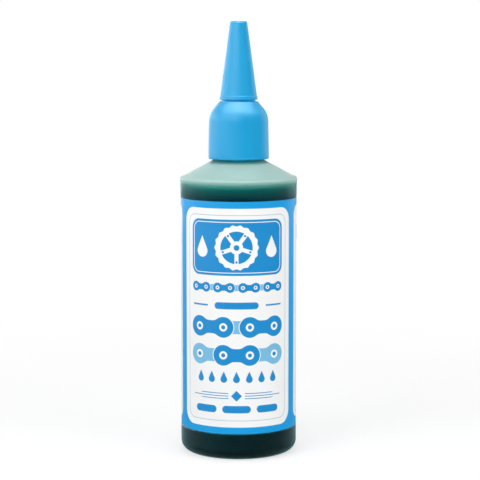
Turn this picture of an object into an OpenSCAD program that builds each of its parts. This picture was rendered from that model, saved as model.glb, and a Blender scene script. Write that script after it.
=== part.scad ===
// Squeeze bottle of chain oil: a blown bottle with a wrap label, a screw-on spout closure
// and a pull-off conical overcap. The axis is Z, the base stands on Z = 0, the label faces -Y.

/* [Bottle] */
// Outside diameter of the body at its heel
body_d = 43.2; // [36:0.4:56]
// How far the body flares out, on the radius, at the shoulder's corner
flare = 0.2; // [0:0.05:0.6]
// Height of the shoulder's outer corner
shoulder_z = 102.75; // [70:0.25:150]
// Thickness of the blown wall
wall = 1.0; // [0.7:0.05:1.3]
// Round between the side and the base
heel_round = 3.9; // [2.5:0.1:5]
// Height of the domed push-up under the base
push_h = 2.0; // [1:0.1:2.5]
// Slope where the push-up leaves the standing ring
push_angle = 14; // [13:1:18]
// Width of the flat ring that the bottle stands on
stand_w = 1.2; // [0.8:0.1:2.5]
// Width of the nearly flat ledge inside the shoulder's corner
ledge_w = 1.6; // [1:0.1:3]
// Rise of that ledge
ledge_rise = 0.45; // [0.2:0.05:0.9]
// Slope of the shoulder's cone
shoulder_angle = 28.2; // [20:0.2:40]

/* [Label] */
// Height of the label's lower edge
label_z = 10.05; // [8:0.05:16]
// Height of the band between the label's upper edge and the shoulder's corner
rim_h = 7.5; // [5:0.25:15]
// Depth of the panel that the label lies in
recess = 0.2; // [0.15:0.05:0.4]
// Thickness of the label's film
film = 0.1; // [0.06:0.01:0.12]
// Width of the gap where the label's two ends come near each other at the back
label_gap = 2.6; // [1:0.1:6]
// Turn of the label about the bottle's axis, from facing -Y
label_turn = -2; // [-10:0.5:10]

/* [Neck] */
// Outside diameter of the neck between its threads
neck_d = 17.7; // [15:0.1:22]
// Wall of the neck
neck_wall = 1.65; // [1.3:0.05:2]
// Height of the neck above the shoulder's cone
neck_h = 13.6; // [11:0.1:18]

/* [Closure] */
// Thickness of the skirt at its lower edge
skirt_wall = 1.18; // [0.98:0.02:1.5]
// How far the skirt tapers in, on the radius, from its lower edge to the dome
skirt_draft = 0.24; // [0:0.02:0.4]
// Gap between the skirt's lower edge and the shoulder's cone
skirt_gap = 1.4; // [0.5:0.1:2]
// Height from the neck's land to the start of the dome
dome_rise = 0.3; // [0.1:0.1:2]
// Radius of the dome's arc
dome_round = 7.5; // [6:0.1:8.8]
// Turn of that arc, after which the dome runs straight up to its flat
dome_turn = 40; // [36:1:48]
// Wall of the dome and the spout
closure_wall = 1.2; // [1:0.05:1.45]
// Wall of the plug that seals in the neck's bore
plug_wall = 1.1; // [0.9:0.05:1.4]
// Depth of the plug in the bore
plug_h = 2.3; // [1.5:0.1:4]
// Width of the ring that presses on the neck's land
seat_w = 0.95; // [0.7:0.05:1.2]
// Height of the collar that carries the overcap
collar_h = 5.0; // [3.5:0.1:7]
// Height of the spout above the collar
spout_h = 20.8; // [15:0.1:27]
// Diameter of the spout's tip
tip_d = 3.4; // [3.2:0.1:4.2]
// Diameter of the hole that the oil leaves by
orifice_d = 1.8; // [1:0.1:2.2]
// Length of that hole
orifice_h = 3.0; // [2:0.1:5]

/* [Overcap] */
// Outside diameter of the overcap at its lower edge
overcap_d = 13.9; // [11.5:0.02:16.6]
// Wall of the overcap where it grips the collar
grip_wall = 0.8; // [0.65:0.05:1]
// Wall of the overcap above the collar, and of its flat top
overcap_wall = 1.2; // [1.1:0.05:1.5]
// Height of the rim bead round the overcap's lower edge
bead_h = 1.4; // [0.8:0.1:2]
// How far the rim bead stands proud
bead_out = 0.12; // [0.04:0.01:0.2]
// How far the sealing pin reaches into the spout's hole
pin_reach = 1.6; // [1:0.1:1.9]

/* [Fits] */
// Room on the radius for the threads between the neck and the skirt
thread_room = 1.2; // [1.1:0.05:1.5]
// Gap on the radius between the plug and the bore, and between the pin and its hole
seal_fit = 0.05; // [0.03:0.01:0.08]
// Gap on the radius between the overcap and the collar
grip_fit = 0.04; // [0.03:0.01:0.08]
// Gap between the overcap's lower edge and the dome's flat
overcap_gap = 0.6; // [0.3:0.1:1]
// Gap on the radius between the overcap and the foot of the spout
foot_gap = 0.3; // [0.2:0.05:0.6]
// Gap on the radius between the overcap and the spout's tip
tip_gap = 0.7; // [0.4:0.05:1.2]
// Room above the spout's tip inside the overcap
roof_gap = 2.1; // [1:0.1:3]
// Depth of the oil's surface under the shoulder's corner
oil_depth = 2.25; // [1.75:0.25:40]
// Layer of glue behind the label
glue = 0.02; // [0.01:0.01:0.03]
// Gap left between the oil and the wall
oil_gap = 0.05; // [0.03:0.01:0.1]

/* [Hidden] */
$fn = 96;

// Largest turn and largest length between two points of an arc
arc_step = 6;
chord = 1.6;
// Smallest round that an inset corner keeps
least_round = 0.3;

// Bottle
body_r = body_d / 2;
shoulder_r = body_r + flare;
stand_r = body_r - heel_round - stand_w;
push_r = stand_r - push_h / tan(push_angle);
push_flat_r = 1;
stand_round = 2.5;
// The push-up's round is as large as its middle allows, but ends before the round of the standing ring
push_slope = push_h / sin(push_angle) - stand_round * tan(push_angle / 2);
push_round = min(push_r - push_flat_r, push_slope) / tan(push_angle / 2);
corner_round = 0.9;
ledge_round = 3;
neck_round = 1.5;
mouth_round = 0.35;
// Height over which the recessed panel's edges slope
recess_slope = 0.35;
// Half length, width and height of the pinch-off seam, which ends inside the standing ring
seam_r = stand_r - 4.5;
seam_w = 0.9;
seam_out = 0.3;
oil_z = shoulder_z - oil_depth;

// Label
label_top = shoulder_z - rim_h;
panel_r = body_r - recess;
label_r = panel_r + glue;

// Neck: the shoulder's cone meets the neck at cone_z, and the land is the sealing face on top
neck_r = neck_d / 2;
bore_r = neck_r - neck_wall;
cone_z = shoulder_z + ledge_rise + (shoulder_r - ledge_w - neck_r) * tan(shoulder_angle);
land_z = cone_z + neck_h;

// Skirt and dome of the closure
skirt_r = neck_r + thread_room;
skirt_out_r = skirt_r + skirt_wall;
skirt_z = cone_z - (skirt_out_r - neck_r) * tan(shoulder_angle) + skirt_gap;
dome_z = land_z + dome_rise;
dome_centre = [skirt_out_r - skirt_draft - dome_round, dome_z];
dome_end = dome_centre + dome_round * [cos(dome_turn), sin(dome_turn)];
// The flat on top of the dome reaches as far as the overcap's rim bead
flat_r = overcap_d / 2 + bead_out;
flat_round = 0.3;
flat_z = dome_end.y + (dome_end.x - flat_r) / tan(dome_turn);
// Groove round the skirt, a short way above its lower edge
line_h = 0.75;
line_w = 0.24;
line_deep = 0.09;

// Seals of the closure: the plug in the bore, and the seat ring on the land
plug_r = bore_r - seal_fit;
plug_in_r = plug_r - plug_wall;
plug_z = land_z - plug_h;
seat_out_r = neck_r + 0.1;
seat_in_r = seat_out_r - seat_w;
dome_in_round = dome_round - closure_wall;
seat_angle = acos((seat_out_r - dome_centre.x) / dome_in_round);
groove_z = land_z + 2.4;
funnel_z = land_z + 4.2;

// Spout, and the overcap round it
collar_top = flat_z + collar_h;
spout_top = collar_top + spout_h;
tip_r = tip_d / 2;
orifice_r = orifice_d / 2;
overcap_z = flat_z + overcap_gap;
overcap_taper = (overcap_d / 2 - overcap_wall - tip_gap - tip_r) / (spout_top - overcap_z);
overcap_roof = spout_top + roof_gap;
overcap_top = overcap_roof + overcap_wall + 0.3;
overcap_tip_round = 1;
pin_r = orifice_r - seal_fit;
pin_z = spout_top - pin_reach;

// Radii at height z: the overcap's outside, its inside above and round the collar, and the collar
function overcap_r(z) = overcap_d / 2 - overcap_taper * (z - overcap_z);
function overcap_in_r(z) = overcap_r(z) - overcap_wall;
function grip_r(z) = overcap_r(z) - grip_wall;
function collar_r(z) = grip_r(z) - grip_fit;

spout_r = overcap_in_r(collar_top) - foot_gap;
// The spout's hollow widens from its hole down to its root, a wall's thickness inside the spout
root_z = flat_z - 0.6;
root_slope = (spout_r - closure_wall - orifice_r) / (spout_h - orifice_h);
root_r = orifice_r + root_slope * (spout_top - orifice_h - root_z);

function flat(p) = [p.x, p.y];
function unit(v) = v / norm(v);
function left(v) = [-v.y, v.x];
function reversed(path) = [for (i = [len(path) - 1 : -1 : 0]) path[i]];

// Points of an arc about a centre, from one angle to another
function arc(centre, r, from, to) =
    let (turn = abs(to - from))
    let (steps = max(1, ceil(turn / arc_step), ceil(turn * PI / 180 * r / chord)))
    [for (i = [0 : steps])
        let (a = from + (to - from) * i / steps)
        [centre.x + r * cos(a), centre.y + r * sin(a), 0]];

// The shorter way round from one angle to another
function sweep(from, to) =
    let (way = to - from)
    way > 180 ? way - 360 : way < -180 ? way + 360 : way;

// The round of radius r at corner b, between its neighbours a and c
function corner(a, b, c, r) =
    let (u = unit(a - b))
    let (v = unit(c - b))
    let (half = acos(u * v) / 2)
    let (centre = b + unit(u + v) * r / sin(half))
    let (start = b + u * r / tan(half) - centre)
    let (end = b + v * r / tan(half) - centre)
    let (from = atan2(start.y, start.x))
    arc(centre, r, from, from + sweep(from, atan2(end.y, end.x)));

// A closed outline of [radius, height, round] corners, with its rounds drawn
function rounded(path) =
    let (n = len(path))
    [for (i = [0 : n - 1])
        let (b = path[i])
        let (before = flat(path[(i + n - 1) % n]))
        let (after = flat(path[(i + 1) % n]))
        each b.z <= 0 ? [flat(b)] : [for (p = corner(before, flat(b), after, b.z)) flat(p)]];

// The same open path moved to its left by t, each round about its own centre
function inset(path, t) =
    let (last = len(path) - 1)
    [for (i = [0 : last])
        let (p = flat(path[i]))
        let (before = i == 0 ? unit(flat(path[1]) - p) : unit(p - flat(path[i - 1])))
        let (after = i == last ? before : unit(flat(path[i + 1]) - p))
        let (moved = p + (left(before) + left(after)) * t / (1 + before * after))
        let (r = path[i].z - sign(cross(before, after)) * t)
        [moved.x, moved.y, path[i].z <= 0 ? 0 : max(r, least_round)]];

module turned(path) {
    rotate_extrude() polygon(rounded(path));
}

// The outside of the body, from the middle of the base to the rim under the shoulder
side_path = [
    [0, push_h, 0],
    [push_r, push_h, push_round],
    [stand_r, 0, stand_round],
    [body_r, 0, heel_round],
    [body_r, label_z - recess_slope, 0],
    [panel_r, label_z, 0],
    [panel_r, label_top, 0],
    [body_r - recess / 4, label_top + recess_slope, 0]
];

// The outside of the shoulder, up to the neck
shoulder_path = [
    [shoulder_r, shoulder_z, corner_round],
    [shoulder_r - ledge_w, shoulder_z + ledge_rise, ledge_round],
    [neck_r, cone_z, neck_round]
];
body_path = concat(side_path, shoulder_path);

// Height of the shoulder's inner face at radius r
function inner_cone_z(r) = cone_z + (neck_r - r) * tan(shoulder_angle) - wall / cos(shoulder_angle);

module blown_shell() {
    inside = inset(body_path, wall);
    mouth = [[neck_r, land_z, mouth_round], [bore_r, land_z, mouth_round]];
    turned(concat(
        body_path,
        mouth,
        [[bore_r, inner_cone_z(bore_r), neck_round]],
        reversed([for (i = [0 : len(inside) - 2]) inside[i]])
    ));
}

// The ridge left under the base where the mould pinches the tube off
module pinch_seam() {
    intersection() {
        translate([0, 0, -seam_out]) blown_shell();
        translate([-seam_r, -seam_w / 2, 0]) cube([2 * seam_r, seam_w, push_h + wall / 2]);
    }
}

module bottle() {
    color([0.80, 0.88, 0.86, 0.55]) union() {
        blown_shell();
        pinch_seam();
    }
}

module wrap_label() {
    gap_angle = label_gap / label_r * 180 / PI;
    color([0.10, 0.62, 0.86])
        rotate([0, 0, 90 + label_turn + gap_angle / 2])
            rotate_extrude(angle = 360 - gap_angle)
                translate([label_r, label_z]) square([film, label_top - label_z]);
}

module oil_fill() {
    inside = inset(body_path, wall + oil_gap);
    surface_r = lookup(oil_z, [for (p = inside) if (p.x > stand_r) [p.y, p.x]]);
    under = [for (i = [0 : len(side_path) - 1]) if (inside[i].y < oil_z) inside[i]];
    color([0.02, 0.26, 0.24]) turned(concat(under, [[surface_r, oil_z, 0], [0, oil_z, 0]]));
}

// The outside of the closure: skirt, dome, collar and spout
closure_outside = concat(
    [
        [skirt_r, skirt_z, 0.15],
        [skirt_out_r, skirt_z, 0.45],
        [skirt_out_r, skirt_z + line_h, 0],
        [skirt_out_r - line_deep, skirt_z + line_h + line_w / 2, 0],
        [skirt_out_r, skirt_z + line_h + line_w, 0]
    ],
    arc(dome_centre, dome_round, 0, dome_turn),
    [
        [flat_r, flat_z, flat_round],
        [collar_r(flat_z), flat_z, 0],
        [collar_r(collar_top), collar_top, 0.25],
        [spout_r, collar_top, 0.15],
        [tip_r, spout_top, 0.4],
        [orifice_r, spout_top, 0.12]
    ]
);

// The inside of the closure: the oil's way, the plug, the seat ring and the skirt's bore
closure_inside = concat(
    [
        [orifice_r, spout_top - orifice_h, 0],
        [root_r, root_z, 1],
        [plug_in_r, funnel_z, 1],
        [plug_in_r, plug_z, 0.15],
        [plug_r, plug_z, 0.4],
        [plug_r, groove_z, 0.3],
        [seat_in_r, groove_z, 0.3],
        [seat_in_r, land_z, 0],
        [seat_out_r, land_z, 0]
    ],
    arc(dome_centre, dome_in_round, seat_angle, 0),
    [[skirt_r, land_z - 0.1, 0]]
);

module spout_closure() {
    color([0.12, 0.63, 0.87]) turned(concat(closure_outside, closure_inside));
}

module overcap() {
    bead_z = overcap_z + bead_h;
    color([0.12, 0.63, 0.87]) turned([
        [grip_r(overcap_z), overcap_z, 0.2],
        [overcap_r(overcap_z) + bead_out, overcap_z, 0.3],
        [overcap_r(bead_z) + bead_out, bead_z, 0.05],
        [overcap_r(bead_z + bead_out), bead_z + bead_out, 0],
        [overcap_r(overcap_top), overcap_top, overcap_tip_round],
        [0, overcap_top, 0],
        [0, pin_z, 0],
        [pin_r, pin_z, 0.25],
        [pin_r, overcap_roof, 0],
        [overcap_in_r(overcap_roof), overcap_roof, 0.5],
        [overcap_in_r(collar_top), collar_top, 0],
        [grip_r(collar_top), collar_top, 0]
    ]);
}

bottle();
wrap_label();
oil_fill();
spout_closure();
overcap();
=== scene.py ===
import math

import bpy
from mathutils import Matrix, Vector


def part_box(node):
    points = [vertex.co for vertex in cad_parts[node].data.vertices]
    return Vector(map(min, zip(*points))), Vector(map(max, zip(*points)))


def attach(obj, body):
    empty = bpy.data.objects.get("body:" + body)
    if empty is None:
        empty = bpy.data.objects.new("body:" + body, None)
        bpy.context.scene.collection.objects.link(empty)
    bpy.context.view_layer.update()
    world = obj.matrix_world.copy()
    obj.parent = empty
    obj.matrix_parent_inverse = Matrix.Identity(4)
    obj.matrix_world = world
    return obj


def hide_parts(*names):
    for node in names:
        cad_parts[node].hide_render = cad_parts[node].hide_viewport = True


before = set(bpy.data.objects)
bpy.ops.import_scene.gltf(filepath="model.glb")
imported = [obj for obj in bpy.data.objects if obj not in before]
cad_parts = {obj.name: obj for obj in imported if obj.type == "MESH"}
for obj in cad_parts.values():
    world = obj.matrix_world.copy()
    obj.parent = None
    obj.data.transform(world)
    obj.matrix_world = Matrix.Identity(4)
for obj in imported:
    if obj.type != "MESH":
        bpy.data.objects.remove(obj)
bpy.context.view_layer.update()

# Shapes and prints are worked out in mm, as in the CAD source, and made in metres. Lights and
# the camera are placed in metres.
MM = 0.001
SEGMENTS = 256
ARC_STEP = math.radians(5)
SHARP = math.radians(25)
ON_AXIS = 1e-6
SAME_R = 1e-4
UV_MAP = "OFBake"


def heights(node):
    """The lowest and the highest point of a CAD node, in mm."""
    return [corner.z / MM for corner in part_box(node)]


# Heights that the frame gives
LAND_Z = heights("bottle")[1]
LABEL_Z, LABEL_TOP = heights("wrap_label")
OIL_Z = heights("oil_fill")[1]
SKIRT_Z, SPOUT_TOP = heights("spout_closure")
CAP_Z, CAP_TOP = heights("overcap")

# Bottle
BODY_R = 21.6
WAIST_IN, RIM_OUT = 0.05, 0.06
FLARE_R = 21.76
SHOULDER_Z = LABEL_TOP + 7.5
LEDGE_W = 1.6
LEDGE_RISE = 0.45
LEDGE_ROUND = 3.0
CORNER_ROUND = 0.9
CONE_SLOPE = math.tan(math.radians(28.2))
NECK_R = 8.85
NECK_H = 13.6
BORE_R = 7.2
CONE_Z = LAND_Z - NECK_H
NECK_THREADED = (CONE_Z + 3, LAND_Z - 0.6)
NECK_ROUND = 1.5
MOUTH_ROUND = 0.35
WALL = 1.0
LEAST_ROUND = 0.3
HEEL_ROUND = 3.9
STAND_R = 16.5
STAND_ROUND = 2.5
PUSH_H = 2.0
PUSH_R = 8.479
PUSH_ROUND = 60.9

# The pinch-off ridge under the base
SEAM_HALF = 12.0
SEAM_HALF_W = 0.45
SEAM_OUT = 0.3
SEAM_END_OUT = 0.02
SEAM_RUN_OUT = 1.5
SEAM_SUNK = 0.15

# Oil: how far it reaches into the wall, and the curved edge of its surface
OIL_GRIP = 0.06
CREEP = 0.55
CREEP_IN, CREEP_FOOT = 0.35, 0.12
CREEP_ROUND = 0.6
CREEP_W = 1.6

# Label, and the bands of its UV map: outer face, inner face, edges and ends
PANEL_R = 21.4
RECESS_SLOPE = 0.35
LABEL_R = 21.42
FILM = 0.1
LABEL_GAP = 2.6
LABEL_TURN = math.radians(-2)
OUTER_BAND, INNER_BAND, EDGE_BAND, END_BAND = (0.12, 1.0), (0.1, 0.01), (0.105, 0.115), (0.0, 0.005)

# Threads
PITCH = 3.175
TURNS = 1.5
NECK_THREAD_Z = LAND_Z - 7.6
NECK_THREAD_H = 1.0
SKIRT_THREAD_H = 0.9
THREAD_CREST = 0.5
THREAD_FLANK = 0.55
THREAD_RUN_OUT = 0.08
THREAD_ROW = 0.15

# Closure
SKIRT_R = 10.05
SKIRT_OUT_R = 11.23
SKIRT_DRAFT = 0.24
SKIRT_THREADED = (LAND_Z - 0.1, SKIRT_Z + 1.2)
DOME_ROUND = 7.5
DOME_TURN = math.radians(40)
DOME_CENTRE = Vector((SKIRT_OUT_R - SKIRT_DRAFT - DOME_ROUND, LAND_Z + 0.3))
FLAT_ROUND = 0.3
COLLAR_H = 5.0
SPOUT_H = 20.8
COLLAR_TOP = SPOUT_TOP - SPOUT_H
FLAT_Z = COLLAR_TOP - COLLAR_H
TIP_R = 1.7
ORIFICE_R = 0.9
ORIFICE_H = 3.0
ROOT_Z = FLAT_Z - 0.6
PLUG_IN_R = 6.05
PLUG_R = 7.15
PLUG_Z = LAND_Z - 2.3
FUNNEL_Z = LAND_Z + 4.2
GROOVE_Z = LAND_Z + 2.4
SEAT_IN_R = 8.0
SEAT_OUT_R = 8.95
CLOSURE_WALL = 1.2
LINE_H = 0.75
LINE_W = 0.24
LINE_DEEP = 0.09

# Overcap
CAP_R = 6.95
CAP_WALL = 1.2
GRIP_WALL = 0.8
GRIP_FIT = 0.04
FOOT_GAP = 0.3
TIP_GAP = 0.7
CAP_ROOF = SPOUT_TOP + 2.1
CAP_TIP_ROUND = 1.0
CAP_TAPER = (CAP_R - CAP_WALL - TIP_GAP - TIP_R) / (SPOUT_TOP - CAP_Z)
BEAD_H = 1.4
BEAD_OUT = 0.12
PIN_R = 0.85
PIN_Z = SPOUT_TOP - 1.6
GATE_R = 0.9
GATE_DEEP = 0.2

# How far the oil's edge blurs in the wall, and where painted shade darkens the wall: under the
# closure's skirt at the neck, and at the heel
OIL_BLUR = 1.5
NECK_SHADE_R = 10.6
NECK_SHADE_W = 1.2
NECK_SHADE_H = 1.5
HEEL_SHADE_H = 4.5

# Colours of the wall and the oil, as linear values; the pairs are mixed by an uneven tone
CLEAR = (0.78, 0.90, 0.88), (0.86, 0.96, 0.94)
MILKY = (0.43, 0.64, 0.60), (0.49, 0.69, 0.65)
# Painted shade of the heel, which darkens the wall towards the bottom
HEEL_SHADE_TINT = (0.04, 0.12, 0.12)
# Painted shadow of the closure's skirt on the shoulder, at the foot of the neck
NECK_SHADE_TINT = (0.01, 0.42, 0.44)
OIL_EDGE = (0.10, 0.33, 0.29)
OIL_TOP = (0.0, 0.125, 0.110)
OIL_BODY = (0.0, 0.004, 0.010)
OIL_BASE = (0.0, 0.002, 0.003)
OIL_CLOUD = (0.0, 0.020, 0.020)
WHITE = (1.0, 1.0, 1.0)
# The most that the tint near the oil and the painted shadow near the neck cover
NEAR_OIL_MOST, NECK_SHADE_MOST = 0.8, 0.85
# Depths under the surface over which the oil darkens, first quickly and then down to the base
OIL_TOP_H, OIL_FALL_H, OIL_FALL_FROM = 6.0, 60.0, 0.5

# Floor and world: how bright each kind of ray finds them, where white is 1
FLOOR_R = 4.0
FLOOR_Z = -0.00005
FLOOR_BOUNCED, FLOOR_MIRRORED = 0.86, 0.50
FLOOR_SHADED, FLOOR_LIFT = 0.5, 0.60
SHADOW_NEAR, SHADOW_FAR = 0.10, 0.32
WORLD_AMBIENT, WORLD_MIRRORED = 0.55, 0.2

# Lights: place, size, glow, whether matt surfaces are lit by it and whether glossy ones mirror it
LIT_AT = (0, 0, 0.08)
SOFTBOXES = {
    "key": ((-0.55, -0.55, 0.40), (0.5, 0.7), 2.3, True, True),
    "fill": ((0.70, -0.52, 0.25), (0.5, 0.7), 2.5, True, False),
    "top": ((-0.05, -0.36, 0.80), (0.35, 0.30), 1.4, True, True),
    "sheen_left": ((-0.85, -0.12, 0.15), (1.6, 0.9), 7.5, False, True),
    "sheen_high": ((-0.29, -0.84, 0.50), (0.8, 0.4), 15.0, False, True),
    "sheen_right": ((0.68, 0.56, 0.15), (0.65, 0.8), 3.0, False, True),
    "sheen_edge": ((-0.45, 0.75, 0.10), (0.5, 0.5), 3.0, False, True),
    "sheen_back": ((-0.40, 0.90, 0.45), (1.4, 0.6), 2.0, False, True),
    "sheen_top": ((0.0, -0.15, 1.0), (1.8, 0.9), 20.0, False, True),
    "sheen_spot": ((-0.04, -0.22, 0.95), (0.30, 0.4), 24.0, False, True),
}

# The camera, as fitted to the photograph's outline
CAMERA_AT = (0.00052, -0.6517, 0.1543)
CAMERA_DOWN = 6.59
LENS, SENSOR = 132.0, 36.0
CLIP = (0.01, 20.0)


def cap_r(z):
    """Outside radius of the overcap at a height, and of what its taper follows."""
    return CAP_R - CAP_TAPER * (z - CAP_Z)


def collar_r(z):
    """Radius at a height of the closure's collar, which the overcap grips."""
    return cap_r(z) - GRIP_WALL - GRIP_FIT


SPOUT_R = cap_r(COLLAR_TOP) - CAP_WALL - FOOT_GAP
ROOT_SLOPE = (SPOUT_R - CLOSURE_WALL - ORIFICE_R) / (SPOUT_H - ORIFICE_H)
ROOT_R = ORIFICE_R + ROOT_SLOPE * (SPOUT_TOP - ORIFICE_H - ROOT_Z)


def unit(v):
    return v.normalized()


def arc(centre, r, start, turn):
    """Points of an arc about a centre, from an angle and through a turn, in radians."""
    steps = max(2, math.ceil(abs(turn) / ARC_STEP))
    angles = [start + turn * i / steps for i in range(steps + 1)]
    return [centre + Vector((math.cos(a), math.sin(a))) * r for a in angles]


def corner(a, b, c, r):
    """The round of radius r at corner b, between its neighbours a and c."""
    u, v = unit(a - b), unit(c - b)
    half = math.acos(max(-1, min(1, u.dot(v)))) / 2
    centre = b + unit(u + v) * (r / math.sin(half))
    start = b + u * (r / math.tan(half)) - centre
    end = b + v * (r / math.tan(half)) - centre
    begin = math.atan2(start.y, start.x)
    turn = (math.atan2(end.y, end.x) - begin + math.pi) % (2 * math.pi) - math.pi
    return arc(centre, r, begin, turn)


def rounded(path):
    """A closed outline of (radius, height, round) corners, with its rounds drawn."""
    points = [Vector(p[:2]) for p in path]
    made = []
    for i, (b, p) in enumerate(zip(points, path)):
        r = p[2] if len(p) > 2 else 0
        after = points[(i + 1) % len(points)]
        made += corner(points[i - 1], b, after, r) if r else [b]
    return made


def inset(path, t):
    """The same open path moved to its left by t, each round about its own centre."""
    points, last, made = [Vector(p[:2]) for p in path], len(path) - 1, []
    for i, p in enumerate(points):
        ahead = unit(points[min(i + 1, last)] - points[min(i, last - 1)])
        before = unit(p - points[i - 1]) if i else ahead
        lefts = Vector((-before.y, before.x)) + Vector((-ahead.y, ahead.x))
        moved = p + lefts * (t / (1 + before.dot(ahead)))
        bend = before.x * ahead.y - before.y * ahead.x
        r = path[i][2] - math.copysign(t, bend)
        made.append((moved.x, moved.y, max(r, LEAST_ROUND) if path[i][2] else 0))
    return made


def make_object(name, verts, faces, uvs):
    """A smooth mesh object from points in mm, faces, and one UV place for each face corner."""
    mesh = bpy.data.meshes.new(name)
    mesh.from_pydata([Vector(v) * MM for v in verts], [], faces)
    layer = mesh.uv_layers.new(name=UV_MAP)
    layer.data.foreach_set("uv", [x for uv in uvs for x in uv])
    mesh.shade_smooth()
    mesh.set_sharp_from_angle(angle=SHARP)
    obj = bpy.data.objects.new(name, mesh)
    bpy.context.scene.collection.objects.link(obj)
    return obj


def lathe(name, points, shape=None):
    """A closed solid of revolution of an outline that runs counterclockwise.

    shape(radius, height, angle) may give a point another radius.
    """
    verts, rings = [], []
    for p in points:
        if p.x < ON_AXIS:
            rings.append([len(verts)] * (SEGMENTS + 1))
            verts.append((0, 0, p.y))
            continue
        first = len(verts)
        for s in range(SEGMENTS):
            a = 2 * math.pi * s / SEGMENTS
            r = shape(p.x, p.y, a) if shape else p.x
            verts.append((r * math.sin(a), -r * math.cos(a), p.y))
        rings.append([*range(first, first + SEGMENTS), first])
    lengths = [0]
    for i, p in enumerate(points):
        lengths.append(lengths[-1] + (points[(i + 1) % len(points)] - p).length)
    faces, uvs = [], []
    for i, low in enumerate(rings):
        high = rings[(i + 1) % len(rings)]
        if low[0] == low[1] and high[0] == high[1]:
            continue
        v0, v1 = lengths[i] / lengths[-1], lengths[i + 1] / lengths[-1]
        for s in range(SEGMENTS):
            u0, u1 = s / SEGMENTS, (s + 1) / SEGMENTS
            corners = [
                (low[s], u0, v0), (low[s + 1], u1, v0), (high[s + 1], u1, v1), (high[s], u0, v1)
            ]
            if low[0] == low[1]:
                corners = [(low[s], (u0 + u1) / 2, v0), corners[2], corners[3]]
            elif high[0] == high[1]:
                corners = [corners[0], corners[1], (high[s], (u0 + u1) / 2, v1)]
            faces.append([c[0] for c in corners])
            uvs += [c[1:] for c in corners]
    return make_object(name, verts, faces, uvs)


def rows(r, low, high, step):
    """Points up a straight wall, close enough for a thread."""
    count = math.ceil(abs(high - low) / step)
    return [(r, low + (high - low) * i / count, 0) for i in range(count + 1)]


def ease(x):
    """A smooth step from 0 at 0 to 1 at 1."""
    x = max(0.0, min(1.0, x))
    return x * x * (3 - 2 * x)


def thread(z, angle, start_z, height):
    """Height of a right-handed thread above its root."""
    best = 0.0
    for k in range(-1, math.ceil(TURNS) + 1):
        t = angle / (2 * math.pi) + k
        if 0 < t < TURNS:
            off = abs(z - start_z - t * PITCH)
            rise = ease(1 - (off - THREAD_CREST / 2) / THREAD_FLANK)
            ends = ease(t / THREAD_RUN_OUT) * ease((TURNS - t) / THREAD_RUN_OUT)
            best = max(best, rise * ends)
    return best * height


# Outlines: rows of radius, height and the round there
side_path = [
    (0, PUSH_H, 0),
    (PUSH_R, PUSH_H, PUSH_ROUND),
    (STAND_R, 0, STAND_ROUND),
    (BODY_R, 0, HEEL_ROUND),
    (BODY_R, LABEL_Z - RECESS_SLOPE, 0),
    (PANEL_R, LABEL_Z, 0),
    (PANEL_R, LABEL_TOP, 0),
    (BODY_R - WAIST_IN, LABEL_TOP + RECESS_SLOPE, 0),
    (BODY_R + RIM_OUT, OIL_Z + CREEP, 0),
]
shoulder_path = [
    (FLARE_R, SHOULDER_Z, CORNER_ROUND),
    (FLARE_R - LEDGE_W, SHOULDER_Z + LEDGE_RISE, LEDGE_ROUND),
    (NECK_R, CONE_Z, NECK_ROUND),
]
body_path = side_path + shoulder_path


def bottle_points():
    """The blown bottle with its neck, outside and inside."""
    inside = inset(body_path, WALL)
    cone_in = CONE_Z + (NECK_R - BORE_R) * CONE_SLOPE - WALL / math.cos(math.atan(CONE_SLOPE))
    mouth = [
        (NECK_R, LAND_Z, MOUTH_ROUND),
        (BORE_R, LAND_Z, MOUTH_ROUND),
        (BORE_R, cone_in, NECK_ROUND),
    ]
    return rounded(body_path + rows(NECK_R, *NECK_THREADED, THREAD_ROW) + mouth + inside[-2::-1])


def neck_shape(r, z, a):
    """Puts the thread on the outside of the neck."""
    if abs(r - NECK_R) < SAME_R and NECK_THREADED[0] < z < NECK_THREADED[1]:
        return r + thread(z, a, NECK_THREAD_Z, NECK_THREAD_H)
    return r


def oil_points():
    """The oil. It reaches into the wall's inner skin, so that no air shows between, and it
    creeps up the wall at its edge.
    """
    inside = inset(body_path, WALL - OIL_GRIP)
    under = [p for p in inside[: len(side_path)] if p[1] < OIL_Z]
    rim = inside[len(side_path) - 1][0]
    surface = [
        (rim, OIL_Z + CREEP, 0),
        (rim - CREEP_IN, OIL_Z + CREEP_FOOT, CREEP_ROUND),
        (rim - CREEP_W, OIL_Z, 0),
        (0, OIL_Z, 0),
    ]
    return rounded(under + surface)


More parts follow.
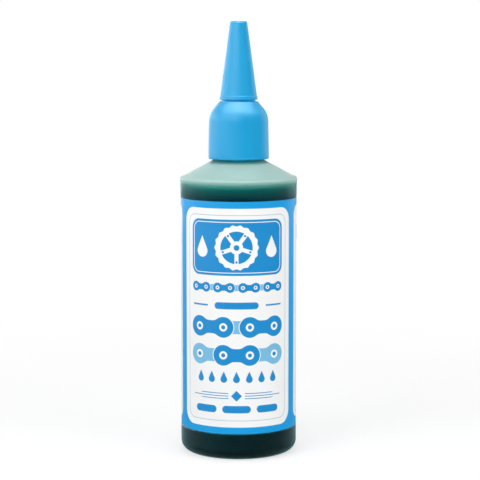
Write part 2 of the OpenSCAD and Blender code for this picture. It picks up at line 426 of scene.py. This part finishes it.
def closure_points():
    """The screw closure with its skirt, dome, collar, spout, plug seal and seat ring."""
    in_round = DOME_ROUND - CLOSURE_WALL
    seat = math.acos((SEAT_OUT_R - DOME_CENTRE.x) / in_round)
    outside = [
        (SKIRT_R, SKIRT_Z, 0.15),
        (SKIRT_OUT_R, SKIRT_Z, 0.45),
        (SKIRT_OUT_R, SKIRT_Z + LINE_H, 0),
        (SKIRT_OUT_R - LINE_DEEP, SKIRT_Z + LINE_H + LINE_W / 2, 0),
        (SKIRT_OUT_R, SKIRT_Z + LINE_H + LINE_W, 0),
        *[(*p, 0) for p in arc(DOME_CENTRE, DOME_ROUND, 0, DOME_TURN)],
        (CAP_R + BEAD_OUT, FLAT_Z, FLAT_ROUND),
        (collar_r(FLAT_Z), FLAT_Z, 0),
        (collar_r(COLLAR_TOP), COLLAR_TOP, 0.25),
        (SPOUT_R, COLLAR_TOP, 0.15),
        (TIP_R, SPOUT_TOP, 0.4),
        (ORIFICE_R, SPOUT_TOP, 0.12),
    ]
    inside = [
        (ORIFICE_R, SPOUT_TOP - ORIFICE_H, 0),
        (ROOT_R, ROOT_Z, 1),
        (PLUG_IN_R, FUNNEL_Z, 1),
        (PLUG_IN_R, PLUG_Z, 0.15),
        (PLUG_R, PLUG_Z, 0.4),
        (PLUG_R, GROOVE_Z, 0.3),
        (SEAT_IN_R, GROOVE_Z, 0.3),
        (SEAT_IN_R, LAND_Z, 0),
        (SEAT_OUT_R, LAND_Z, 0),
        *[(*p, 0) for p in arc(DOME_CENTRE, in_round, seat, -seat)],
        *rows(SKIRT_R, *SKIRT_THREADED, THREAD_ROW),
    ]
    return rounded(outside + inside)


def skirt_shape(r, z, a):
    """Puts the thread on the inside of the skirt, half a pitch under the neck's."""
    if abs(r - SKIRT_R) < SAME_R and SKIRT_THREADED[1] < z < SKIRT_THREADED[0]:
        return r - thread(z, a, NECK_THREAD_Z - PITCH / 2, SKIRT_THREAD_H)
    return r


def cap_points():
    """The overcap with its foot bead, gate mark, sealing pin and grip."""
    bead = CAP_Z + BEAD_H
    return rounded([
        (cap_r(CAP_Z) - GRIP_WALL, CAP_Z, 0.2),
        (cap_r(CAP_Z) + BEAD_OUT, CAP_Z, 0.3),
        (cap_r(bead) + BEAD_OUT, bead, 0.05),
        (cap_r(bead + BEAD_OUT), bead + BEAD_OUT, 0),
        (cap_r(CAP_TOP), CAP_TOP, CAP_TIP_ROUND),
        (GATE_R, CAP_TOP, 0.1),
        (GATE_R - 0.1, CAP_TOP - GATE_DEEP, 0.1),
        (0, CAP_TOP - GATE_DEEP, 0),
        (0, PIN_Z, 0),
        (PIN_R, PIN_Z, 0.25),
        (PIN_R, CAP_ROOF, 0),
        (cap_r(CAP_ROOF) - CAP_WALL, CAP_ROOF, 0.5),
        (cap_r(COLLAR_TOP) - CAP_WALL, COLLAR_TOP, 0),
        (cap_r(COLLAR_TOP) - GRIP_WALL, COLLAR_TOP, 0),
    ])


def push_up_z(r):
    """Height of the underside of the base at radius r."""
    line = [p for p in rounded(side_path[:4]) if p.x <= STAND_R]
    for a, b in zip(line, line[1:]):
        if a.x <= r <= b.x and b.x > a.x:
            return a.y + (b.y - a.y) * (r - a.x) / (b.x - a.x)
    return PUSH_H


def seam_object():
    """The pinch-off ridge under the base, a rounded bead that follows the push-up and is sunk
    into it.
    """
    steps, around = 60, 10
    verts, faces, uvs = [], [], []
    for i in range(steps + 1):
        x = SEAM_HALF * (2 * i / steps - 1)
        end = ease((SEAM_HALF - abs(x)) / SEAM_RUN_OUT)
        out = SEAM_END_OUT + (SEAM_OUT - SEAM_END_OUT) * end
        half = SEAM_HALF_W * (0.4 + 0.6 * end)
        for k in range(around):
            a = math.pi * (k / (around - 1) - 1)
            low = abs(math.sin(a)) ** 0.7
            z = push_up_z(abs(x)) + SEAM_SUNK - (out + SEAM_SUNK) * low
            verts.append((x, half * math.cos(a), z))
    for i in range(steps):
        for k in range(around):
            j = (k + 1) % around
            face = [i * around + k, (i + 1) * around + k, (i + 1) * around + j, i * around + j]
            faces.append(face[::-1])
            u0, u1, v0, v1 = i / steps, (i + 1) / steps, k / around, (k + 1) / around
            uvs += [(u0, v1), (u1, v1), (u1, v0), (u0, v0)]
    faces.append(list(range(around)))
    faces.append([steps * around + k for k in range(around)][::-1])
    uvs += [(0.0, 0.0)] * (2 * around)
    return make_object("bottle_seam", verts, faces, uvs)


def label_object():
    """The film, a strip round the body with a gap at the back. Its outer face takes most of the
    UV map.
    """
    columns, lines = 360, 24
    half = math.pi - LABEL_GAP / LABEL_R / 2
    sections = [
        (LABEL_R + FILM, LABEL_Z, LABEL_TOP, *OUTER_BAND),
        (LABEL_R, LABEL_TOP, LABEL_Z, *INNER_BAND),
    ]
    verts, faces, uvs = [], [], []
    for c in range(columns + 1):
        a = LABEL_TURN + half * (2 * c / columns - 1)
        for r, z0, z1, _, _ in sections:
            for k in range(lines + 1):
                z = z0 + (z1 - z0) * k / lines
                verts.append((r * math.sin(a), -r * math.cos(a), z))
    per = 2 * (lines + 1)
    for c in range(columns):
        u0, u1 = c / columns, (c + 1) / columns
        for k in range(per):
            j = (k + 1) % per
            faces.append([c * per + k, (c + 1) * per + k, (c + 1) * per + j, c * per + j])
            part, row = divmod(k, lines + 1)
            start, stop = sections[part][3:]
            if row < lines:
                v0, v1 = (start + (stop - start) * x / lines for x in (row, row + 1))
            else:
                v0, v1 = EDGE_BAND
            uvs += [(u0, v0), (u1, v0), (u1, v1), (u0, v1)]
    for c, turn in ((0, 1), (columns, -1)):
        for k in range(lines):
            ring = [c * per + i for i in (k, k + 1, 2 * lines - k, 2 * lines + 1 - k)]
            faces.append(ring[::turn])
            v0, v1 = END_BAND
            uvs += [(v0, v0), (v0, v1), (v1, v1), (v1, v0)][::turn]
    return make_object("wrap_label_film", verts, faces, uvs)


# Node trees
class Num:
    """A number in a node tree. Arithmetic on it adds Math nodes."""

    def __init__(self, tree, socket):
        self.tree, self.socket = tree, socket

    def op(self, operation, *others):
        node = self.tree.nodes.new("ShaderNodeMath")
        node.operation = operation
        for place, value in zip(node.inputs, (self, *others)):
            if isinstance(value, Num):
                self.tree.links.new(value.socket, place)
            else:
                place.default_value = value
        return Num(self.tree, node.outputs[0])

    def __add__(self, other):
        return self.op("ADD", other)

    def __sub__(self, other):
        return self.op("SUBTRACT", other)

    def __mul__(self, other):
        return self.op("MULTIPLY", other)

    def __truediv__(self, other):
        return self.op("DIVIDE", other)

    def __neg__(self):
        return self * -1.0

    def __abs__(self):
        return self.op("ABSOLUTE")

    def least(self, *others):
        made = self
        for other in others:
            made = made.op("MINIMUM", other)
        return made

    def most(self, *others):
        made = self
        for other in others:
            made = made.op("MAXIMUM", other)
        return made

    def clamped(self):
        return self.most(0.0).least(1.0)


def length(x, y):
    """Length of the vector x, y."""
    return (x * x + y * y).op("SQRT")


def fold(x, pitch):
    """Distance to the nearest whole number of pitches."""
    return abs((x + pitch / 2).op("FLOORED_MODULO", pitch) - pitch / 2)


def box(u, v, at, half, r=0.0):
    """Distance to a rounded rectangle: at is its middle, half its half sizes."""
    a, b = abs(u - at[0]) - (half[0] - r), abs(v - at[1]) - (half[1] - r)
    return length(a.most(0.0), b.most(0.0)) + a.most(b).least(0.0) - r


def drop(x, y, r, h):
    """Distance to a drop: a circle of radius r about the middle, drawn up to a point at h."""
    lean = math.asin(r / h)
    cone = (abs(x) * math.cos(lean) + y * math.sin(lean) - r).most(-y + r * math.sin(lean))
    return (length(x, y) - r).least(cone)


def inked(d):
    """How much of a place the shape at distance d covers."""
    return (-(d / PRINT_BLUR) + 0.5).clamped()


def near(d, reach):
    """1 where d is 0 or less, falling to 0 where it is reach."""
    return (-(d / reach) + 1.0).clamped()


def linear(r, g, b):
    """A colour's linear values from its 0 to 255 ones, by the sRGB curve."""
    shares = (c / 255 for c in (r, g, b))
    return tuple(c / 12.92 if c <= 0.04045 else ((c + 0.055) / 1.055) ** 2.4 for c in shares)


def grey(level):
    """A grey as a colour."""
    return (level, level, level)


def mix(tree, share, a, b):
    """Colour a, changed to b by a share."""
    node = tree.nodes.new("ShaderNodeMix")
    node.data_type = "RGBA"
    for place, value in zip((node.inputs[0], node.inputs[6], node.inputs[7]), (share, a, b)):
        if isinstance(value, Num):
            tree.links.new(value.socket, place)
        elif isinstance(value, bpy.types.NodeSocket):
            tree.links.new(value, place)
        elif isinstance(value, tuple):
            place.default_value = (*value, 1)
        else:
            place.default_value = value
    return node.outputs[2]


def new_material(name, **sockets):
    """A material, its tree and its shader, with the numbers and colours given for its sockets."""
    mat = bpy.data.materials.new(name)
    mat.use_nodes = True
    shader = mat.node_tree.nodes["Principled BSDF"]
    for key, value in sockets.items():
        place = shader.inputs[key.replace("_", " ")]
        place.default_value = (*value, 1) if isinstance(value, tuple) else value
    return mat, mat.node_tree, shader


def place_in_mm(tree, stretch=(1, 1, 1)):
    """The object's own coordinates in mm, stretched along each axis."""
    where = tree.nodes.new("ShaderNodeTexCoord")
    scale = tree.nodes.new("ShaderNodeVectorMath")
    scale.operation = "MULTIPLY"
    scale.inputs[1].default_value = [s / MM for s in stretch]
    tree.links.new(where.outputs["Object"], scale.inputs[0])
    return scale.outputs[0]


def axes(tree, vector):
    """The x, y and z of a vector."""
    split = tree.nodes.new("ShaderNodeSeparateXYZ")
    tree.links.new(vector, split.inputs[0])
    return [Num(tree, split.outputs[axis]) for axis in "XYZ"]


def noise(tree, vector, size, detail=2.0, roughness=0.5):
    """Noise between 0 and 1 whose features are about size mm across."""
    node = tree.nodes.new("ShaderNodeTexNoise")
    node.inputs["Scale"].default_value = 1 / size
    node.inputs["Detail"].default_value = detail
    node.inputs["Roughness"].default_value = roughness
    tree.links.new(vector, node.inputs["Vector"])
    return Num(tree, node.outputs[0])


def bump(tree, shader, height, depth):
    """Bumps of that depth, in mm, from a height between 0 and 1."""
    node = tree.nodes.new("ShaderNodeBump")
    node.inputs["Distance"].default_value = depth * MM
    tree.links.new(height.socket, node.inputs["Height"])
    tree.links.new(node.outputs[0], shader.inputs["Normal"])


def feed(tree, value, place):
    """Links a number or a colour to a socket."""
    tree.links.new(value.socket if isinstance(value, Num) else value, place)


def roughen(tree, shader, least, *parts):
    """Sets the roughness from its least value and pairs of a noise and how much it adds."""
    total = parts[0][0] * parts[0][1]
    for part, share in parts[1:]:
        total = total + part * share
    feed(tree, total + least, shader.inputs["Roughness"])


PLASTIC_BLUE = linear(10, 154, 210), linear(18, 162, 216)


def blue_plastic():
    """Moulded polypropylene: a fine spark-eroded skin, faint flow marks along the axis, and a
    little wear in its gloss.
    """
    mat, tree, shader = new_material("blue_polypropylene", Specular_IOR_Level=0.11, IOR=1.49)
    mm = place_in_mm(tree)
    cloud = noise(tree, mm, 9.0, 3.0)
    flow = noise(tree, place_in_mm(tree, (1, 1, 0.12)), 1.6, 2.0)
    skin = noise(tree, mm, 0.28, 3.0, 0.6)
    tone = (cloud * 0.6 + flow * 0.4).clamped()
    feed(tree, mix(tree, tone, *PLASTIC_BLUE), shader.inputs["Base Color"])
    roughen(tree, shader, 0.33, (cloud, 0.12), (flow, 0.06))
    bump(tree, shader, skin * 0.7 + flow * 0.3, 0.035)
    return mat


def natural_plastic(name, colour, rough, **sockets):
    """Blown natural polyethylene, frosted, its gloss and thickness a little uneven.

    colour(tree, mm, tone) makes its colour from an uneven tone.
    """
    mat, tree, shader = new_material(name, Sheen_Roughness=0.35, **sockets)
    mm = place_in_mm(tree)
    cloud = noise(tree, place_in_mm(tree, (1, 1, 0.5)), 7.0, 3.0)
    streak = noise(tree, place_in_mm(tree, (1, 1, 0.08)), 2.2, 2.0)
    skin = noise(tree, mm, 0.35, 3.0, 0.6)
    tone = (cloud * 0.6 + streak * 0.4).clamped()
    feed(tree, colour(tree, mm, tone), shader.inputs["Base Color"])
    roughen(tree, shader, rough, (cloud, 0.1), (streak, 0.06))
    bump(tree, shader, skin * 0.5 + cloud * 0.5, 0.03)
    return mat


def wet_colour(tree, mm, tone):
    """Nearly clear, with painted shade that darkens it towards the bottom of the heel."""
    # Painted shade, darker towards the bottom of the heel
    heel_shade = near(axes(tree, mm)[2], HEEL_SHADE_H)
    return mix(tree, heel_shade, mix(tree, tone, *CLEAR), HEEL_SHADE_TINT)


def dry_colour(tree, mm, tone):
    """Pale and milky, darker close to the oil, with a painted shadow of the closure's skirt near
    the foot of the neck.
    """
    x, y, z = axes(tree, mm)
    near_oil = near(z - (OIL_Z + CREEP), OIL_BLUR)
    # Painted shadow under the closure's skirt, round the foot of the neck
    neck_shade = near(length(x, y) - NECK_SHADE_R, NECK_SHADE_W) * near(z - CONE_Z, NECK_SHADE_H)
    shaded = mix(tree, near_oil * near_oil * NEAR_OIL_MOST, mix(tree, tone, *MILKY), OIL_EDGE)
    return mix(tree, neck_shade * NECK_SHADE_MOST, shaded, NECK_SHADE_TINT)


def green_oil():
    """Dark green oil, lighter in the few millimetres under its surface, where light comes in
    from above, and darkest at the base.
    """
    mat, tree, shader = new_material("green_oil", IOR=1.47, Specular_IOR_Level=0.03)
    mm = place_in_mm(tree)
    deep = -axes(tree, mm)[2] + (OIL_Z + CREEP)
    cloud = noise(tree, mm, 12.0, 2.0)
    body = mix(tree, (deep / OIL_TOP_H).clamped().op("POWER", 0.6), OIL_TOP, OIL_BODY)
    edge = mix(tree, (deep / OIL_BLUR).clamped().op("POWER", 0.7), OIL_EDGE, body)
    low = mix(tree, (deep / OIL_FALL_H - OIL_FALL_FROM).clamped(), edge, OIL_BASE)
    feed(tree, mix(tree, cloud * 0.1, low, OIL_CLOUD), shader.inputs["Base Color"])
    roughen(tree, shader, 0.04, (cloud, 0.05))
    return mat


# The label's print: u runs round the film from its middle and v is the height. Each place is
# followed by half sizes, and the side panels lie at +u and -u.
PRINT_BLUR = 0.07
FRONT_MID, FRONT_HALF, FRONT_ROUND = (0.0, 52.65), (22.8, 40.1), 5.0
SIDE_MID, SIDE_HALF, SIDE_ROUND = (45.3, 52.9), (18.0, 39.85), 4.0
FRONT_KEY, FRONT_KEY_ROUND = 2.45, 3.2
SIDE_KEY, SIDE_KEY_ROUND = 2.0, 2.6
KEY_HALF_W = 0.13

EMBLEM_MID, EMBLEM_HALF, EMBLEM_ROUND = (0.0, 78.6), (18.4, 10.2), 3.4
EMBLEM_KEY, EMBLEM_KEY_ROUND, EMBLEM_KEY_HALF_W = 1.0, 2.6, 0.14
RING_R, RING_TEETH, RING_ARMS = 8.0, 18, 5
EMBLEM_DROP, EMBLEM_DROP_R, EMBLEM_DROP_H = (13.4, 77.2), 2.3, 5.6
# Height, pitch, round of a plate, half of its waist, plates, and whether the kinds are swapped
CHAINS = ((64.0, 4.7, 1.8, 1.1, 7, 0), (49.5, 9.8, 3.8, 2.4, 3, 0), (39.2, 9.8, 3.8, 2.4, 3, 1))
DASH = (14.4, 57.4), (3.4, 0.3)
PILLS = ((0.0, 57.4), (8.2, 1.25)), ((11.9, 19.2), (4.4, 1.35)), ((0.0, 19.2), (5.3, 1.35))
DROPS_Z, DROPS_PITCH, DROPS_R, DROPS_H, DROPS_HALF = 30.3, 4.7, 1.25, 3.0, 16.6
RULES_Z, RULES_PITCH, RULES_HALF_W = 24.2, 0.95, 0.15
RULES_HALF, RULES_END, RULES_SLANT, RULES_GAP = 1.3, 17.6, 4.0, 3.0
DIAMOND = 2.0

HEADER, HEADER_HALF, HEADER_ROUND = (0.0, 82.6), (13.4, 3.0), 1.4
DISC_Z, DISC_PITCH, DISC_R, DISC_HALF_W, DISC_DOT = 70.0, 9.0, 3.0, 0.35, 1.3
BAR_PITCH, BAR_HALF_W, BAR_LEFT, BAR_RIGHT, BAR_RAG = 2.3, 0.45, 12.3, 9.6, 2.6
# Middle and half height of the two blocks of bars
BAR_BLOCKS = (47.0, 10.4), (24.2, 5.6)
SIDE_PRINT_HALF, SIDE_PRINT_FROM = 13.5, 28.0

GROUND_BLUE = linear(8, 158, 226)
INK_BLUE = linear(20, 141, 208)
PALE_BLUE = linear(122, 190, 226)
PAPER = linear(246, 247, 247)
KEY_GREY = linear(186, 204, 210)


def chain_row(u, y, pitch, r, waist, plates, swap):
    """A run of roller chain seen from the side: the distances to its inner plates, to its outer
    plates and from its pins.
    """
    found = []
    for kind in (0, 1):
        beyond = abs(u) - (plates / 2 - (kind != swap)) * pitch
        x = abs(fold(u + (plates - 1 + 2 * (kind + swap)) * pitch / 2, 2 * pitch)) - pitch / 2
        plate = (length(x, y) - r).op("SMOOTH_MIN", x.most(abs(y) - waist), r * 0.35).most(beyond)
        found.append(plate.least(length(beyond, y) - r))
    return found[1], found[0], length(fold(u + plates % 2 * pitch / 2, pitch), y)


def chainring(u, v, at, r, teeth, arms):
    """A chainring: toothed ring, arms and hub, with the holes left open."""
    y = v - at[1]
    x = u - at[0]
    out = length(x, y)
    turn = y.op("ARCTAN2", x)
    tooth = fold(turn * (teeth / (2 * math.pi)), 1.0)
    rim = out - (tooth * 1.1 * -1.0 + (r + 0.3))
    ring = rim.most(-out + (r * 0.74))
    aside = fold(turn * (arms / (2 * math.pi)) + 0.25, 1.0) * (2 * math.pi / arms) * out
    arm = (aside - 0.75).most(out - r * 0.8)
    hub = out - r * 0.3
    bolt = length(aside, out - r * 0.66) - 0.42
    return ring.least(arm, hub).most(-(out - r * 0.13)).most(-bolt)


def pill(u, v, at, half):
    """Distance to a bar with round ends."""
    return box(u, v, at, half, half[1])


def emblem_print(u, v):
    """A chainring between two drops, in a thin frame."""
    ring = chainring(u, v, EMBLEM_MID, RING_R, RING_TEETH, RING_ARMS)
    drops = drop(abs(u) - EMBLEM_DROP[0], v - EMBLEM_DROP[1], EMBLEM_DROP_R, EMBLEM_DROP_H)
    inner = [h - EMBLEM_KEY for h in EMBLEM_HALF]
    key = abs(box(u, v, EMBLEM_MID, inner, EMBLEM_KEY_ROUND)) - EMBLEM_KEY_HALF_W
    return ring.least(drops, key)


def small_print(u, v):
    """Rules, pills, a row of drops and a diamond."""
    w = abs(u)
    dashes = box(w, v, *DASH)
    drops = drop(fold(u, DROPS_PITCH), v - DROPS_Z, DROPS_R, DROPS_H).most(w - DROPS_HALF)
    h = abs(v - RULES_Z)
    rules = fold(h, RULES_PITCH) - RULES_HALF_W
    rules = rules.most(h - RULES_HALF, w + h * RULES_SLANT - RULES_END, -w + RULES_GAP)
    high, low_pair, low = PILLS
    shapes = dashes.least(pill(u, v, *high), drops, rules, w + h - DIAMOND)
    return shapes.least(pill(w, v, *low_pair), pill(u, v, *low))


def side_print(w, v):
    """A header, three ringed dots and lines of plain bars with a ragged edge."""
    s = w - SIDE_MID[0]
    line = (v / BAR_PITCH).op("FLOOR")
    ragged = (line * 12.9898).op("SINE") * BAR_RAG
    bars = abs((v / BAR_PITCH).op("FRACT") - 0.5) * BAR_PITCH - BAR_HALF_W
    bars = bars.most(-s - BAR_LEFT, s + ragged - BAR_RIGHT)
    blocks = [bars.most(abs(v - z) - half) for z, half in BAR_BLOCKS]
    out = length(fold(s, DISC_PITCH), v - DISC_Z)
    discs = (abs(out - DISC_R) - DISC_HALF_W).least(out - DISC_DOT)
    header = box(s, v, HEADER, HEADER_HALF, HEADER_ROUND)
    shapes = header.least(discs).most(abs(s) - SIDE_PRINT_HALF).least(*blocks)
    return shapes.most(-w + SIDE_PRINT_FROM)


def label_film():
    """Printed film: blue ground, white panels and plain cycling motifs, with the faint waves of a
    stuck-on wrap.
    """
    mat, tree, shader = new_material("printed_film", IOR=1.5, Specular_IOR_Level=0.07)
    mm = place_in_mm(tree)
    x, y, v = axes(tree, mm)
    u = (x.op("ARCTAN2", -y) - LABEL_TURN) * (LABEL_R + FILM)

    w = abs(u)
    front = box(u, v, FRONT_MID, FRONT_HALF, FRONT_ROUND)
    side = box(w, v, SIDE_MID, SIDE_HALF, SIDE_ROUND)
    colour = mix(tree, inked(front.least(side)), GROUND_BLUE, PAPER)
    front = box(u, v, FRONT_MID, [h - FRONT_KEY for h in FRONT_HALF], FRONT_KEY_ROUND)
    side = box(w, v, SIDE_MID, [h - SIDE_KEY for h in SIDE_HALF], SIDE_KEY_ROUND)
    colour = mix(tree, inked(abs(front).least(abs(side)) - KEY_HALF_W), colour, KEY_GREY)

    # The emblem, on a blue field
    field = box(u, v, EMBLEM_MID, EMBLEM_HALF, EMBLEM_ROUND)
    colour = mix(tree, inked(field), colour, INK_BLUE)
    colour = mix(tree, inked(emblem_print(u, v)), colour, PAPER)

    # Chain: one narrow run, then two bold ones, with the outer plates over the inner ones
    for at, pitch, r, waist, plates, swap in CHAINS:
        inner, outer, pin = chain_row(u, v - at, pitch, r, waist, plates, swap)
        for d, ink in (
            (inner, PALE_BLUE),
            (outer - pitch * 0.03, PAPER),
            (outer, INK_BLUE),
            (pin - r * 0.4, PAPER),
            (pin - r * 0.2, INK_BLUE),
        ):
            colour = mix(tree, inked(d.most(inner.least(outer))), colour, ink)

    colour = mix(tree, inked(small_print(u, v)), colour, INK_BLUE)
    colour = mix(tree, inked(side_print(w, v)), colour, INK_BLUE)

    grain = noise(tree, mm, 0.5, 2.0)
    wave = noise(tree, place_in_mm(tree, (1, 1, 0.35)), 6.0, 2.0)
    tint = mix(tree, grain * 0.02, colour, (0.75, 0.87, 0.93))
    feed(tree, tint, shader.inputs["Base Color"])
    roughen(tree, shader, 0.27, (wave, 0.12), (grain, 0.05))
    bump(tree, shader, wave * 0.85 + grain * 0.15, 0.05)
    return mat


plastic, oil, film = blue_plastic(), green_oil(), label_film()
# Where oil wets it the wall reads clear and dark, and above the oil it is milky
wet = natural_plastic(
    "wet_polyethylene", wet_colour, rough=0.32, Transmission_Weight=1.0, IOR=1.26,
    Specular_Tint=(0.10, 0.75, 0.85), Sheen_Weight=0.60, Sheen_Tint=(0.30, 0.92, 1.0),
)
dry = natural_plastic(
    "dry_polyethylene", dry_colour, rough=0.46, Transmission_Weight=0.4, IOR=1.18,
    Specular_Tint=WHITE, Sheen_Weight=0.45, Sheen_Tint=(1.0, 0.96, 0.95),
)

shell = lathe("bottle_shell", bottle_points(), neck_shape)
seam = seam_object()
wrap = label_object()
fill = lathe("oil", oil_points())
closure = lathe("closure_with_spout", closure_points(), skirt_shape)
overcap = lathe("overcap_cone", cap_points())

# Each piece with its body, material, slot and the CAD node that it stands for
pieces = [
    (shell, "bottle_body", wet, "natural_polyethylene", "bottle"),
    (seam, "bottle_body", wet, "natural_polyethylene", None),
    (wrap, "bottle_body", film, "printed_film", "wrap_label"),
    (fill, "bottle_body", oil, "green_oil", "oil_fill"),
    (closure, "closure", plastic, "blue_polypropylene", "spout_closure"),
    (overcap, "cap", plastic, "blue_polypropylene", "overcap"),
]
for obj, body, mat, slot, node in pieces:
    obj.data.materials.append(mat)
    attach(obj, body)
    if node:
        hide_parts(node)
shell.data.materials.append(dry)
for face in shell.data.polygons:
    face.material_index = int(face.center.z > (OIL_Z + CREEP) * MM)


def link(tree, node, place):
    """Links a node's first output to a socket."""
    tree.links.new(node.outputs[0], place)


def diffuse(tree, level):
    """A matt grey shader."""
    node = tree.nodes.new("ShaderNodeBsdfDiffuse")
    node.inputs["Color"].default_value = (*grey(level), 1)
    return node


def emission(tree, strength):
    """A white glow."""
    node = tree.nodes.new("ShaderNodeEmission")
    node.inputs["Strength"].default_value = strength
    return node


def either(tree, share, a, b):
    """Shader a, changed to shader b by a share."""
    node = tree.nodes.new("ShaderNodeMixShader")
    tree.links.new(share.socket, node.inputs[0])
    link(tree, a, node.inputs[1])
    link(tree, b, node.inputs[2])
    return node


def ray_kinds(tree, *kinds):
    """For each kind, 1 where it is the kind of ray that looks, and otherwise 0."""
    path = tree.nodes.new("ShaderNodeLightPath")
    return [Num(tree, path.outputs[f"Is {kind} Ray"]) for kind in kinds]


def floor_object():
    """A white floor that keeps the object's shadow near it and is plain white further off.

    Bounced light finds it matt, and what mirrors it finds it dimmer.
    """
    corners = ((-1, -1), (1, -1), (1, 1), (-1, 1))
    mesh = bpy.data.meshes.new("floor")
    mesh.from_pydata([(x * FLOOR_R, y * FLOOR_R, FLOOR_Z) for x, y in corners], [], [(0, 1, 2, 3)])
    floor = bpy.data.objects.new("floor", mesh)
    bpy.context.scene.collection.objects.link(floor)
    mat = bpy.data.materials.new("floor_white")
    mat.use_nodes = True
    tree = mat.node_tree
    tree.nodes.clear()

    camera_ray, through, mirrored = ray_kinds(tree, "Camera", "Transmission", "Glossy")
    bounced = diffuse(tree, FLOOR_BOUNCED)
    level = mix(tree, mirrored, grey(FLOOR_BOUNCED), grey(FLOOR_MIRRORED))
    feed(tree, level, bounced.inputs["Color"])
    shaded = tree.nodes.new("ShaderNodeAddShader")
    link(tree, diffuse(tree, FLOOR_SHADED), shaded.inputs[0])
    link(tree, emission(tree, FLOOR_LIFT), shaded.inputs[1])

    where = tree.nodes.new("ShaderNodeTexCoord")
    far = tree.nodes.new("ShaderNodeVectorMath")
    far.operation = "LENGTH"
    tree.links.new(where.outputs["Object"], far.inputs[0])
    span = SHADOW_FAR - SHADOW_NEAR
    share = ((Num(tree, far.outputs["Value"]) - SHADOW_NEAR) / span).clamped()
    share = share * share * (-(share * 2.0) + 3.0)
    seen = either(tree, share, shaded, emission(tree, 1.0))
    out = tree.nodes.new("ShaderNodeOutputMaterial")
    link(tree, either(tree, camera_ray.most(through), bounced, seen), out.inputs["Surface"])
    mesh.materials.append(mat)


def softbox(name, at, size, glow, lights_matt, is_mirrored):
    """A rectangular light that faces the object. A glow of 1 is as bright as the white world."""
    data = bpy.data.lights.new(name, "AREA")
    data.shape = "RECTANGLE"
    data.size, data.size_y = size
    data.energy = glow * math.pi * size[0] * size[1]
    lamp = bpy.data.objects.new(name, data)
    bpy.context.scene.collection.objects.link(lamp)
    lamp.location = at
    lamp.rotation_mode = "QUATERNION"
    lamp.rotation_quaternion = (Vector(LIT_AT) - Vector(at)).to_track_quat("-Z", "Y")
    lamp.visible_diffuse = lamp.visible_transmission = lights_matt
    lamp.visible_glossy = is_mirrored


def white_world():
    """White where it is seen, and dimmer as a light and in what mirrors it."""
    world = bpy.data.worlds.new("studio")
    bpy.context.scene.world = world
    world.use_nodes = True
    tree = world.node_tree
    tree.nodes.clear()
    camera_ray, through, mirrored = ray_kinds(tree, "Camera", "Transmission", "Glossy")
    light = tree.nodes.new("ShaderNodeBackground")
    light.inputs["Color"].default_value = (*WHITE, 1)
    level = mirrored * (WORLD_MIRRORED - WORLD_AMBIENT) + WORLD_AMBIENT
    feed(tree, camera_ray.most(through).most(level), light.inputs["Strength"])
    out = tree.nodes.new("ShaderNodeOutputWorld")
    link(tree, light, out.inputs["Surface"])


floor_object()
white_world()
for name, settings in SOFTBOXES.items():
    softbox(name, *settings)

data = bpy.data.cameras.new("camera")
data.lens = LENS
data.sensor_width = SENSOR
data.clip_start, data.clip_end = CLIP
camera = bpy.data.objects.new("camera", data)
bpy.context.scene.collection.objects.link(camera)
camera.location = CAMERA_AT
camera.rotation_euler = (math.radians(90 - CAMERA_DOWN), 0, 0)
bpy.context.scene.camera = camera
bpy.context.scene.view_settings.view_transform = "Standard"
